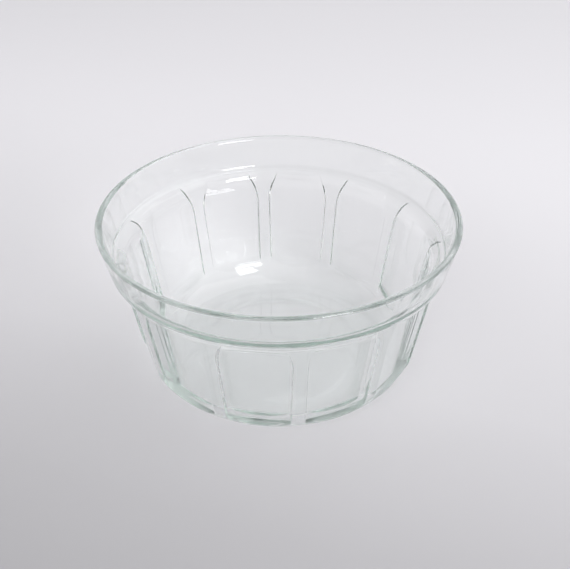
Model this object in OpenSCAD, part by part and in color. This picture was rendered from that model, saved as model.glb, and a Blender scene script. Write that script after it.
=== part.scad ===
// Clear pressed-glass salad bowl with a plain rim band over a ring of flat panels.
// Millimetres, +Z up, origin on the table under the middle of the bowl.

/* [Whole bowl] */
// Outside diameter over the lip
rim_d = 230; // [205:1:255]
// Height from the table to the top of the lip
height = 112; // [100:1:130]

/* [Rim band] */
// Glass thickness of the lip and the band under it
lip_t = 4.2; // [3.4:0.1:5.2]
// Height of the plain band, lip to lower edge
band_h = 26; // [20:1:30]
// Outward lean of the band from the vertical
band_lean = 13.2; // [10:0.1:16]
// How far the ledge under the band steps in
ledge_w = 5; // [3.5:0.1:6]
// Height over which the ledge steps in
ledge_h = 4; // [3:0.1:6]

/* [Body] */
// Outward lean of the ribs and the inside wall from the vertical
wall_lean = 9.75; // [7:0.05:12]
// Glass thickness at a rib
wall_t = 6.4; // [5.6:0.1:7.4]
// Outside radius where the wall turns into the base
knuckle_r = 27; // [22:0.5:31]
// Inside radius where the wall turns into the floor
inner_knuckle_r = 22; // [17:0.5:26]
// Height of the inside floor above the table
floor_z = 6.5; // [5:0.1:8]

/* [Panels] */
// Number of flat panels round the wall
panel_count = 12; // [11:1:16]
// Width of the rib left standing between two panels
rib_w = 8.8; // [6:0.2:11]
// Glass thickness in the middle of a panel at its top
panel_top_t = 2.6; // [2.4:0.1:3.6]
// Glass thickness in the middle of a panel at its foot
panel_foot_t = 3.4; // [3:0.1:4.2]
// Radius of the arch that the sides of a panel lean in to
panel_arch_r = 30; // [25:1:40]
// Height of the arched part of a panel
panel_arch_h = 19; // [14:0.5:22]
// Radius of the cove that closes a panel at its top
cove_r = 10; // [6:0.5:13]
// How far the top of a panel runs up into the slope of the ledge
panel_rise = 3; // [1.5:0.1:3.2]

/* [Base] */
// Width of the flat ring that the bowl stands on
foot_w = 7; // [5:0.5:10]
// Depth of the recess inside the foot ring
recess_h = 1.2; // [0.8:0.1:2]

/* [Hidden] */

rim_r = rim_d / 2;
lip_r = lip_t / 2;
lip_x = rim_r - lip_r;
lip_z = height - lip_r;

// Where the round of the lip runs into the band, outside and inside
lip_out = [lip_x + lip_r * cos(band_lean), lip_z - lip_r * sin(band_lean)];
lip_in = [lip_x - lip_r * cos(band_lean), lip_z + lip_r * sin(band_lean)];

band_foot_z = height - band_h;
ledge_foot_z = band_foot_z - ledge_h;
band_foot_r = lip_out[0] - (lip_out[1] - band_foot_z) * tan(band_lean);
body_top_r = band_foot_r - ledge_w;

// Radius of the rib tops and of the inside wall at a height
function rib_r(z) = body_top_r - (ledge_foot_z - z) * tan(wall_lean);
function inside_r(z) = rib_r(z) - wall_t;

// The inside ledge lies a little above the outside one and is nearly level
shoulder_top_z = band_foot_z + ledge_h;
shoulder_foot_z = band_foot_z + ledge_h / 2;
shoulder_top_r = lip_in[0] - (lip_in[1] - shoulder_top_z) * tan(band_lean);

// Outside and inside knuckles, each touching the wall and the level below it
knuckle_top_z = knuckle_r * (1 - sin(wall_lean));
knuckle_x = rib_r(knuckle_top_z) - knuckle_r * cos(wall_lean);
inner_top_z = floor_z + inner_knuckle_r * (1 - sin(wall_lean));
inner_x = inside_r(inner_top_z) - inner_knuckle_r * cos(wall_lean);

foot_in_r = knuckle_x - foot_w;

// The recess inside the foot ring is entered over a gentle slope
recess_slope = 8;

// Panel floor line, from the knuckle to the top of the panel
panel_step = 360 / panel_count;
panel_top_z = ledge_foot_z + min(panel_rise, 0.8 * ledge_h);
floor_top_x = inside_r(panel_top_z) + panel_top_t;
floor_foot_x = inside_r(knuckle_top_z) + panel_foot_t;
floor_lean = atan((floor_top_x - floor_foot_x) / (panel_top_z - knuckle_top_z));

function floor_x(z) = floor_foot_x + (z - knuckle_top_z) * tan(floor_lean);

// Half the width of a panel at a height, for ribs of one width
function panel_half(z) = rib_r(z) * sin(panel_step / 2 - asin(rib_w / 2 / rib_r(z)));

side_lean = atan((panel_half(panel_top_z) - panel_half(knuckle_top_z)) / (panel_top_z - knuckle_top_z));

function side_y(z) = panel_half(knuckle_top_z) + (z - knuckle_top_z) * tan(side_lean);

// The cove runs from the panel floor into a level roof at the top of the panel
cove_z = panel_top_z - cove_r;
cove_x = floor_x(cove_z) + cove_r / cos(floor_lean);
cove_start = [cove_x - cove_r * cos(floor_lean), cove_z + cove_r * sin(floor_lean)];

// The sides of a panel lean in to an arch that would close above its roof
arch_z = panel_top_z - panel_arch_h;
arch_y = side_y(arch_z) - panel_arch_r / cos(side_lean);
arch_end = asin(min(0.95, (panel_arch_h + 1) / panel_arch_r));
arch_steps = 12;

cut_over = 6;

module outer_section() {
    polygon([
        [0, 0],
        [knuckle_x, 0],
        [rib_r(knuckle_top_z), knuckle_top_z],
        [body_top_r, ledge_foot_z],
        [band_foot_r, band_foot_z],
        lip_out,
        lip_in,
        [0, lip_in[1]]
    ]);
    translate([knuckle_x, knuckle_r])
        circle(r = knuckle_r, $fn = 180);
    translate([lip_x, lip_z])
        circle(r = lip_r, $fn = 72);
}

module hollow_section() {
    polygon([
        [0, floor_z],
        [inner_x, floor_z],
        [inside_r(inner_top_z), inner_top_z],
        [inside_r(shoulder_foot_z), shoulder_foot_z],
        [shoulder_top_r, shoulder_top_z],
        lip_in,
        [lip_in[0], height + cut_over],
        [0, height + cut_over]
    ]);
    translate([inner_x, floor_z + inner_knuckle_r])
        circle(r = inner_knuckle_r, $fn = 180);
}

module foot_recess_section() {
    polygon([
        [0, -cut_over],
        [foot_in_r + recess_slope * cut_over, -cut_over],
        [foot_in_r - recess_slope * recess_h, recess_h],
        [0, recess_h]
    ]);
}

module plain_bowl() {
    rotate_extrude($fn = 180)
        difference() {
            outer_section();
            hollow_section();
            foot_recess_section();
        }
}

// Side view of one panel cut: a leaning floor that ends in the cove
module panel_side() {
    polygon([
        [floor_x(0), 0],
        [rim_r + cut_over, 0],
        [rim_r + cut_over, panel_top_z],
        [cove_x, panel_top_z],
        [cove_x, cove_z],
        cove_start
    ]);
    translate([cove_x, cove_z])
        circle(r = cove_r, $fn = 96);
}

// Front view of one panel cut, with arched sides
module panel_front() {
    right = [
        for (i = [0 : arch_steps])
            let (a = -side_lean + (arch_end + side_lean) * i / arch_steps)
            [arch_y + panel_arch_r * cos(a), arch_z + panel_arch_r * sin(a)]
    ];
    left = [for (i = [arch_steps : -1 : 0]) [-right[i][0], right[i][1]]];
    over = [for (side = [1, -1]) [side * right[arch_steps][0], panel_top_z + cut_over]];
    polygon(concat([[-side_y(0), 0], [side_y(0), 0]], right, over, left));
}

module panel_cut() {
    intersection() {
        rotate([90, 0, 0])
            linear_extrude(height = rim_r, center = true)
                panel_side();
        rotate([90, 0, 90])
            linear_extrude(height = rim_r + cut_over)
                panel_front();
    }
}

module glass_bowl() {
    color([0.86, 0.93, 0.90, 0.45])
        difference() {
            plain_bowl();
            for (i = [0 : panel_count - 1])
                rotate([0, 0, (i + 0.5) * panel_step])
                    panel_cut();
        }
}

glass_bowl();
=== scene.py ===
import math

import bmesh
import bpy
from mathutils import Matrix, Vector


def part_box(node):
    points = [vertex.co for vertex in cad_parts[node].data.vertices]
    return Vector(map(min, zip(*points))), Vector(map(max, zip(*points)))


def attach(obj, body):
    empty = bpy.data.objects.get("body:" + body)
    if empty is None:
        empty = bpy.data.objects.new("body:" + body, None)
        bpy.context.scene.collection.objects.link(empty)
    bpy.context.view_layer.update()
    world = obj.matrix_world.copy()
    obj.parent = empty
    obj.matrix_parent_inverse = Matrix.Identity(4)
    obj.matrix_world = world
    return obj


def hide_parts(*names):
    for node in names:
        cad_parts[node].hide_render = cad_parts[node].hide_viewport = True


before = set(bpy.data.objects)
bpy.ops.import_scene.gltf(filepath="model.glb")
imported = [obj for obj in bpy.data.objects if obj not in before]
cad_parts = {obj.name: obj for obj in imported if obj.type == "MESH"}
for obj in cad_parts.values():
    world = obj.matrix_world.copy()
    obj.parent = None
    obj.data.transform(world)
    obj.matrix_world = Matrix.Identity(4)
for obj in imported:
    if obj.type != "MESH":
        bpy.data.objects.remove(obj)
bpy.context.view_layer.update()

# The bowl is one gob of clear soda-lime glass, pressed between a mould with flat
# panels and a smooth round plunger, then fire-polished so that every edge is soft.
# It has no other piece, so lip, band, ledge, ribs, panels and foot are one mesh.
box_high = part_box("glass_bowl")[1]
height = box_high.z
# The mesh stays this far inside the solid's box
rim_clearance = 0.0002
rim_r = box_high.x - rim_clearance

lip_t = 0.0042
band_h = 0.026
band_lean = math.radians(13.2)
ledge_w = 0.005
ledge_h = 0.004
wall_lean = math.radians(9.75)
wall_t = 0.0064
knuckle_r = 0.027
inner_knuckle_r = 0.022
floor_z = 0.0065
foot_w = 0.007
recess_h = 0.0012
recess_slope = 8
panel_count = 12
rib_w = 0.0088
panel_top_t = 0.0026
panel_foot_t = 0.0034
panel_arch_r = 0.030
panel_arch_h = 0.019
cove_r = 0.010
panel_rise = 0.003

lip_r = lip_t / 2
lip_z = height - lip_r
band_foot_z = height - band_h
ledge_foot_z = band_foot_z - ledge_h
lip_out_r = rim_r - lip_r + lip_r * math.cos(band_lean)
lip_out_z = lip_z - lip_r * math.sin(band_lean)


# Outside and inside of the band, tops of the ribs and inside of the wall at a height
def band_out_r(z):
    return lip_out_r + (z - lip_out_z) * math.tan(band_lean)


def band_in_r(z):
    return rim_r - lip_r - lip_r / math.cos(band_lean) + (z - lip_z) * math.tan(band_lean)


body_top_r = band_out_r(band_foot_z) - ledge_w


def rib_r(z):
    return body_top_r - (ledge_foot_z - z) * math.tan(wall_lean)


def inside_r(z):
    return rib_r(z) - wall_t


# A knuckle's round starts this many radii from the sharp corner of wall and base
knuckle_share = 1 / math.tan(math.pi / 4 + wall_lean / 2)
knuckle_reach = knuckle_r * knuckle_share
knuckle_top_z = knuckle_reach * math.cos(wall_lean)
foot_out_r = rib_r(0) - knuckle_reach
foot_in_r = foot_out_r - foot_w
panel_top_z = ledge_foot_z + panel_rise
arch_z = panel_top_z - panel_arch_h
shoulder_top_z = band_foot_z + ledge_h
shoulder_foot_z = band_foot_z + ledge_h / 2

# Half of the bowl's cross-section, drawn sharp and then rounded corner by corner
section = bmesh.new()
corners = {
    "recess_middle": (0, recess_h),
    "recess_edge": (foot_in_r - recess_slope * recess_h, recess_h),
    "foot_inner": (foot_in_r, 0),
    "knuckle": (rib_r(0), 0),
    "arch_level": (rib_r(arch_z), arch_z),
    "ledge_foot": (body_top_r, ledge_foot_z),
    "band_foot": (band_out_r(band_foot_z), band_foot_z),
    "lip_outer": (band_out_r(height), height),
    "lip_inner": (band_in_r(height), height),
    "shoulder_top": (band_in_r(shoulder_top_z), shoulder_top_z),
    "shoulder_foot": (inside_r(shoulder_foot_z), shoulder_foot_z),
    "inner_knuckle": (inside_r(floor_z), floor_z),
    "floor_middle": (0, floor_z),
}
corner_verts = {name: section.verts.new((r, 0, z)) for name, (r, z) in corners.items()}
section.faces.new(corner_verts.values())
# Each rounding: distance from the sharp corner to where the round starts, and steps
roundings = {
    "recess_edge": (0.0040, 4),
    "foot_inner": (0.0040, 4),
    "knuckle": (knuckle_reach, 22),
    "ledge_foot": (0.0016, 5),
    "band_foot": (0.0016, 5),
    "lip_outer": (lip_r * 0.95, 7),
    "lip_inner": (lip_r * 0.95, 7),
    "shoulder_top": (0.0025, 6),
    "shoulder_foot": (0.0040, 10),
    "inner_knuckle": (inner_knuckle_r * knuckle_share, 12),
}
for name, (reach, steps) in roundings.items():
    bmesh.ops.bevel(
        section,
        geom=[corner_verts[name]],
        offset=reach,
        offset_type="OFFSET",
        segments=steps,
        profile=0.5,
        affect="VERTICES",
        material=-1,
    )
same_place = 1e-6
axis_edges = [e for e in section.edges if all(v.co.x < same_place for v in e.verts)]
bmesh.ops.delete(section, geom=axis_edges, context="EDGES")

# The panels run from the lower knuckle to just under the band
panel_foot_z = 0.012
press_top_z = band_foot_z - 0.0005
level_slack = 1e-4
knuckle_skin = 0.002


def outer_side(r, z):
    if z > knuckle_top_z - level_slack:
        return r > rib_r(z) - wall_t / 2
    on_round = math.hypot(r - foot_out_r, z - knuckle_r) > knuckle_r - knuckle_skin
    return on_round and r > foot_out_r - level_slack


def panelled(r, z):
    return outer_side(r, z) and panel_foot_z < z < press_top_z


# Rows of the panelled part above the knuckle, closer where the sides lean in to the arch
wall_row = 0.009
arch_row = 0.0007
for edge in list(section.edges):
    low, high = sorted((v.co for v in edge.verts), key=lambda co: co.z)
    if not all(panelled(v.co.x, v.co.z) for v in edge.verts) or low.z < knuckle_top_z - level_slack:
        continue
    row = arch_row if low.z > arch_z - level_slack else wall_row
    cuts = math.ceil((high - low).length / row) - 1
    if cuts > 0:
        bmesh.ops.subdivide_edges(section, edges=[edge], cuts=cuts)

# One bay, from the middle of a rib to the middle of the next, with twice the columns on the panels
bay = 2 * math.pi / panel_count
plain_columns = 40
bay_columns = 2 * plain_columns
bmesh.ops.spin(
    section,
    geom=section.verts[:] + section.edges[:],
    cent=(0, 0, 0),
    axis=(0, 0, 1),
    dvec=(0, 0, 0),
    angle=bay,
    steps=plain_columns,
)
radius = section.verts.layers.float.new("radius")
for vert in section.verts:
    vert[radius] = math.hypot(vert.co.x, vert.co.y)


def panel_ring(edge):
    level = abs(edge.verts[0].co.z - edge.verts[1].co.z) < same_place / 10
    return level and all(panelled(v[radius], v.co.z) for v in edge.verts)


rings = [edge for edge in section.edges if panel_ring(edge)]
bmesh.ops.subdivide_edges(section, edges=rings, cuts=1)


# Half the width of the panel between the ribs, and how far its sides have leant in to the arch
def panel_half(z):
    return rib_r(z) * math.sin(bay / 2 - math.asin(rib_w / 2 / rib_r(z)))


def arch_shift(z):
    return panel_arch_r - math.sqrt(panel_arch_r**2 - max(0, z - arch_z) ** 2)


# The columns of half a bay follow the edge of the panel and stand closest there
edge_zone = math.radians(0.5)
zone_columns = (4, 13)
columns_top_z = band_foot_z + 0.0018
least_edge_r = rib_r(panel_foot_z) - 0.01
for vert in section.verts:
    r, z = vert[radius], vert.co.z
    if not outer_side(r, z) or z > columns_top_z:
        continue
    edge_z = min(band_foot_z, max(panel_foot_z, z))
    edge = bay / 2 - math.asin((panel_half(edge_z) - arch_shift(edge_z)) / max(r, least_edge_r))
    column_stops = [
        (0, 0),
        (zone_columns[0], edge - edge_zone),
        (zone_columns[1], edge + edge_zone),
        (plain_columns, bay / 2),
    ]
    column = math.atan2(vert.co.y, vert.co.x) / bay * bay_columns
    half = max(0, min(column, bay_columns - column))
    for (a, turn_a), (b, turn_b) in zip(column_stops, column_stops[1:]):
        if a <= half <= b:
            turn = turn_a + (turn_b - turn_a) * (half - a) / (b - a)
    turn = bay - turn if column > bay_columns / 2 else turn
    vert.co = (r * math.cos(turn), r * math.sin(turn), z)


# How far a point lies inside the sides of the panel
def inside_panel(vert):
    z = vert.co.z
    across = abs(vert[radius] * math.sin(math.atan2(vert.co.y, vert.co.x) - bay / 2))
    side = panel_half(z) - across
    if z < arch_z:
        return side
    return panel_arch_r - math.hypot(panel_arch_r - side, z - arch_z)


def smooth_step(t):
    t = min(1, max(0, t))
    return t * t * (3 - 2 * t)


# The panel's flat floor leans from the knuckle to the ledge and ends in a cove
floor_foot_x = inside_r(knuckle_top_z) + panel_foot_t
floor_top_x = inside_r(panel_top_z) + panel_top_t
floor_tan = (floor_top_x - floor_foot_x) / (panel_top_z - knuckle_top_z)
cove_z = panel_top_z - cove_r


def panel_floor_x(z):
    rise = 0
    if z > cove_z:
        rise = cove_r - math.sqrt(cove_r**2 - min(cove_r, z - cove_z) ** 2)
    return floor_foot_x + (z - knuckle_top_z) * floor_tan + rise


# The mould presses the panel in between the two ribs, with soft sides and a softer top
panel_edge_w = 0.0011
panel_fade = 0.0003
panel_top_fade = 0.0025
press_run_out = 0.002
for vert in section.verts:
    r, z, around = vert[radius], vert.co.z, math.atan2(vert.co.y, vert.co.x)
    if not panelled(r, z):
        continue
    share = smooth_step(inside_panel(vert) / panel_edge_w + 0.5)
    fade = panel_fade + (panel_top_fade - panel_fade) * smooth_step((z - cove_z) / cove_r)
    depth = r - panel_floor_x(z) / math.cos(around - bay / 2)
    depth = (depth + math.sqrt(depth**2 + fade**2)) / 2
    depth *= smooth_step((press_top_z - z) / press_run_out)
    r -= depth * share
    vert.co = (r * math.cos(around), r * math.sin(around), z)

# The same bay again all the way round
one_bay = section.verts[:] + section.edges[:] + section.faces[:]
for i in range(1, panel_count):
    copy = bmesh.ops.duplicate(section, geom=one_bay)["geom"]
    copy_verts = [v for v in copy if isinstance(v, bmesh.types.BMVert)]
    turn = Matrix.Rotation(bay * i, 3, "Z")
    bmesh.ops.rotate(section, cent=(0, 0, 0), matrix=turn, verts=copy_verts)
bmesh.ops.remove_doubles(section, verts=section.verts, dist=same_place)
bmesh.ops.recalc_face_normals(section, faces=section.faces)
for face in section.faces:
    face.smooth = True
bowl_mesh = bpy.data.meshes.new("pressed_glass_bowl")
section.to_mesh(bowl_mesh)
section.free()
bowl = bpy.data.objects.new("pressed_glass_bowl", bowl_mesh)
bpy.context.scene.collection.objects.link(bowl)
# Broad faces keep their own direction where they run into a small round
even_faces = bowl.modifiers.new("even_faces", "WEIGHTED_NORMAL")
even_faces.mode = "FACE_AREA"

# Clear glass with a faint green-grey body tint, seen where the light runs along the glass
glass = bpy.data.materials.new("clear_pressed_glass")
glass.use_nodes = True
nodes, links = glass.node_tree.nodes, glass.node_tree.links
surface = nodes["Principled BSDF"]
surface.inputs["Base Color"].default_value = (0.985, 0.995, 0.99, 1)
surface.inputs["Roughness"].default_value = 0.0
surface.inputs["IOR"].default_value = 1.52
surface.inputs["Transmission Weight"].default_value = 1.0
tint = nodes.new("ShaderNodeVolumeAbsorption")
tint.inputs["Color"].default_value = (0.80, 0.86, 0.835, 1)
tint.inputs["Density"].default_value = 10.5
links.new(tint.outputs["Volume"], nodes["Material Output"].inputs["Volume"])
# Mould and cooling leave a slow unevenness in the surface
coords = nodes.new("ShaderNodeTexCoord")
unevenness = nodes.new("ShaderNodeTexNoise")
unevenness.inputs["Scale"].default_value = 45.0
unevenness.inputs["Detail"].default_value = 1.0
links.new(coords.outputs["Object"], unevenness.inputs["Vector"])
ripple = nodes.new("ShaderNodeBump")
ripple.inputs["Strength"].default_value = 0.03
ripple.inputs["Distance"].default_value = 0.0004
links.new(unevenness.outputs["Fac"], ripple.inputs["Height"])
links.new(ripple.outputs["Normal"], surface.inputs["Normal"])
# Light from the room reaches the table through the glass
rays = nodes.new("ShaderNodeLightPath")
passing = nodes.new("ShaderNodeBsdfTransparent")
passing.inputs["Color"].default_value = (0.90, 0.902, 0.901, 1)
mixed = nodes.new("ShaderNodeMixShader")
links.new(rays.outputs["Is Shadow Ray"], mixed.inputs["Fac"])
links.new(surface.outputs["BSDF"], mixed.inputs[1])
links.new(passing.outputs["BSDF"], mixed.inputs[2])
links.new(mixed.outputs["Shader"], nodes["Material Output"].inputs["Surface"])
bowl_mesh.materials.append(glass)

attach(bowl, "root")
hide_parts("glass_bowl")

# The table is a pale matt top that runs back out of view under the bowl.
# Its colour carries painted light falloff: lightest behind the bowl and to the right and darker to the
# front, as on a table that stands by a window.
view_turn = Matrix.Rotation(math.radians(-6.7), 4, "Z")
table_drop = 0.0002
bpy.ops.mesh.primitive_plane_add(size=8)
table = bpy.context.object
table.name = "table_top"
table.location.z = -table_drop
table_paint = bpy.data.materials.new("pale_table_painted_falloff")
table_paint.use_nodes = True
table_nodes, table_links = table_paint.node_tree.nodes, table_paint.node_tree.links
table_surface = table_nodes["Principled BSDF"]
table_surface.inputs["Roughness"].default_value = 0.8
table_surface.inputs["Specular IOR Level"].default_value = 0.1
table_place = table_nodes.new("ShaderNodeTexCoord")
towards = table_nodes.new("ShaderNodeVectorMath")
towards.operation = "DOT_PRODUCT"
towards.inputs[1].default_value = view_turn.to_3x3() @ Vector((0.33, 0.92, 0))
table_links.new(table_place.outputs["Object"], towards.inputs[0])
reach = table_nodes.new("ShaderNodeMapRange")
reach.inputs["From Min"].default_value = -0.25
reach.inputs["From Max"].default_value = 0.85
table_links.new(towards.outputs["Value"], reach.inputs["Value"])
painted_falloff = table_nodes.new("ShaderNodeValToRGB")
painted_falloff.color_ramp.interpolation = "B_SPLINE"
# Share of the way from front to back, and how pale the painted light falloff makes the paint there
painted_falloff_stops = [
    (0.0, 0.38),
    (0.09, 0.48),
    (0.15, 0.55),
    (0.21, 0.605),
    (0.36, 0.715),
    (0.50, 0.80),
    (0.69, 0.78),
    (1.0, 0.75),
]
while len(painted_falloff.color_ramp.elements) < len(painted_falloff_stops):
    painted_falloff.color_ramp.elements.new(0.5)
for stop, (at, grey) in zip(painted_falloff.color_ramp.elements, painted_falloff_stops):
    stop.position = at
    stop.color = (grey, grey * 0.985, grey * 1.02, 1)
table_links.new(reach.outputs["Result"], painted_falloff.inputs["Fac"])
# The painted light falloff becomes the table's colour
table_links.new(painted_falloff.outputs["Color"], table_surface.inputs["Base Color"])
table.data.materials.append(table_paint)

# The room is bright overhead and has a bright wall to the front left.
# It darkens towards the level of the table.
room_low, room_high = 0.06, 0.62
front_wall = 2.0
backdrop_pale = 0.65
room = bpy.data.worlds.new("bright_room")
bpy.context.scene.world = room
room.use_nodes = True
room_nodes, room_links = room.node_tree.nodes, room.node_tree.links
room_light = room_nodes["Background"]
room_light.inputs["Color"].default_value = (1, 1, 1.01, 1)
direction = room_nodes.new("ShaderNodeTexCoord")
upward = room_nodes.new("ShaderNodeSeparateXYZ")
room_links.new(direction.outputs["Generated"], upward.inputs["Vector"])
facing_wall = room_nodes.new("ShaderNodeVectorMath")
facing_wall.operation = "DOT_PRODUCT"
facing_wall.inputs[1].default_value = view_turn.to_3x3() @ Vector((-0.34, -0.94, 0))
room_links.new(direction.outputs["Generated"], facing_wall.inputs[0])


def soft_rise(source, start, end, low, high):
    rise = room_nodes.new("ShaderNodeMapRange")
    rise.interpolation_type = "SMOOTHSTEP"
    rise.inputs["From Min"].default_value = start
    rise.inputs["From Max"].default_value = end
    rise.inputs["To Min"].default_value = low
    rise.inputs["To Max"].default_value = high
    room_links.new(source, rise.inputs["Value"])
    return rise.outputs["Result"]


def room_math(operation, first, second):
    step = room_nodes.new("ShaderNodeMath")
    step.operation = operation
    room_links.new(first, step.inputs[0])
    room_links.new(second, step.inputs[1])
    return step.outputs["Value"]


overhead = soft_rise(upward.outputs["Z"], 0.10, 0.80, room_low, room_high)
wall_share = soft_rise(facing_wall.outputs["Value"], 0.45, 1.0, 0.0, front_wall)
# Seen past the edge of the table, and in or through the glass, the room is a plain pale backdrop
room_rays = room_nodes.new("ShaderNodeLightPath").outputs
seen = room_math("MAXIMUM", room_rays["Is Camera Ray"], room_rays["Is Glossy Ray"])
seen = room_math("MAXIMUM", seen, room_rays["Is Transmission Ray"])
backdrop = room_nodes.new("ShaderNodeMix")
backdrop.inputs["B"].default_value = backdrop_pale
room_links.new(seen, backdrop.inputs["Factor"])
room_links.new(room_math("ADD", overhead, wall_share), backdrop.inputs["A"])
room_links.new(backdrop.outputs["Result"], room_light.inputs["Strength"])


# The lamps are soft: a paned window and a low broad lamp, both to the front right,
# and a ceiling lamp to the right.
def place(thing, azimuth, elevation, distance, aim):
    a, e = math.radians(azimuth), math.radians(elevation)
    away = Vector((math.cos(e) * math.cos(a), math.cos(e) * math.sin(a), math.sin(e)))
    turned = view_turn.to_3x3() @ (away * distance)
    facing = (Vector(aim) - turned).to_track_quat("-Z", "Y")
    thing.matrix_world = Matrix.LocRotScale(turned, facing, None)


def soft_light(name, width, depth, power):
    lamp = bpy.data.lights.new(name, "AREA")
    lamp.shape = "RECTANGLE"
    lamp.size = width
    lamp.size_y = depth
    lamp.energy = power
    holder = bpy.data.objects.new(name, lamp)
    bpy.context.scene.collection.objects.link(holder)
    return holder


pane_w, pane_h, pane_gap = 0.22, 0.34, 0.05
for column in (-0.5, 0.5):
    for row in (-0.5, 0.5):
        pane = soft_light("window_pane", pane_w, pane_h, 1.8)
        place(pane, -53, 46, 2.2, (0, 0, 0.08))
        slide = Vector((column * (pane_w + pane_gap), row * (pane_h + pane_gap), 0))
        pane.matrix_world = pane.matrix_world @ Matrix.Translation(slide)

ceiling_light = soft_light("ceiling_light", 2.0, 2.0, 9.5)
place(ceiling_light, 20, 62, 2.2, (0, 0, 0.05))
front_light = soft_light("front_light", 2.4, 1.8, 166)
place(front_light, -60, 24, 6.0, (0, 0.1, 0))

# The camera stands where the photograph was taken from and has the same angle of view.
# Its focal length is given in pixels of the photograph's width.
image_w = 570
focal_px = 846
camera_elevation = math.radians(29.37)
camera_distance = 0.5374
camera_yaw = math.radians(0.378)
camera_pitch = math.radians(-4.987)
camera_roll = math.radians(-0.364)
camera_data = bpy.data.cameras.new("camera")
camera_data.sensor_width = 36
camera_data.lens = focal_px * camera_data.sensor_width / image_w
camera = bpy.data.objects.new("camera", camera_data)
bpy.context.scene.collection.objects.link(camera)
bpy.context.scene.camera = camera
standing = Matrix.Translation((0, 0, height)) @ view_turn @ Matrix.Rotation(-camera_elevation, 4, "X")
standing = standing @ Matrix.Translation((0, -camera_distance, 0)) @ Matrix.Rotation(math.pi / 2, 4, "X")
aim = Matrix.Rotation(-camera_yaw, 4, "Y") @ Matrix.Rotation(camera_pitch, 4, "X")
camera.matrix_world = standing @ aim @ Matrix.Rotation(camera_roll, 4, "Z")

bpy.context.scene.view_settings.view_transform = "Standard"
# Light turns many times inside thick glass before it leaves
cycles = bpy.context.scene.cycles
cycles.max_bounces = 32
cycles.glossy_bounces = 32
cycles.transmission_bounces = 32
cycles.transparent_max_bounces = 32
cycles.sample_clamp_indirect = 5
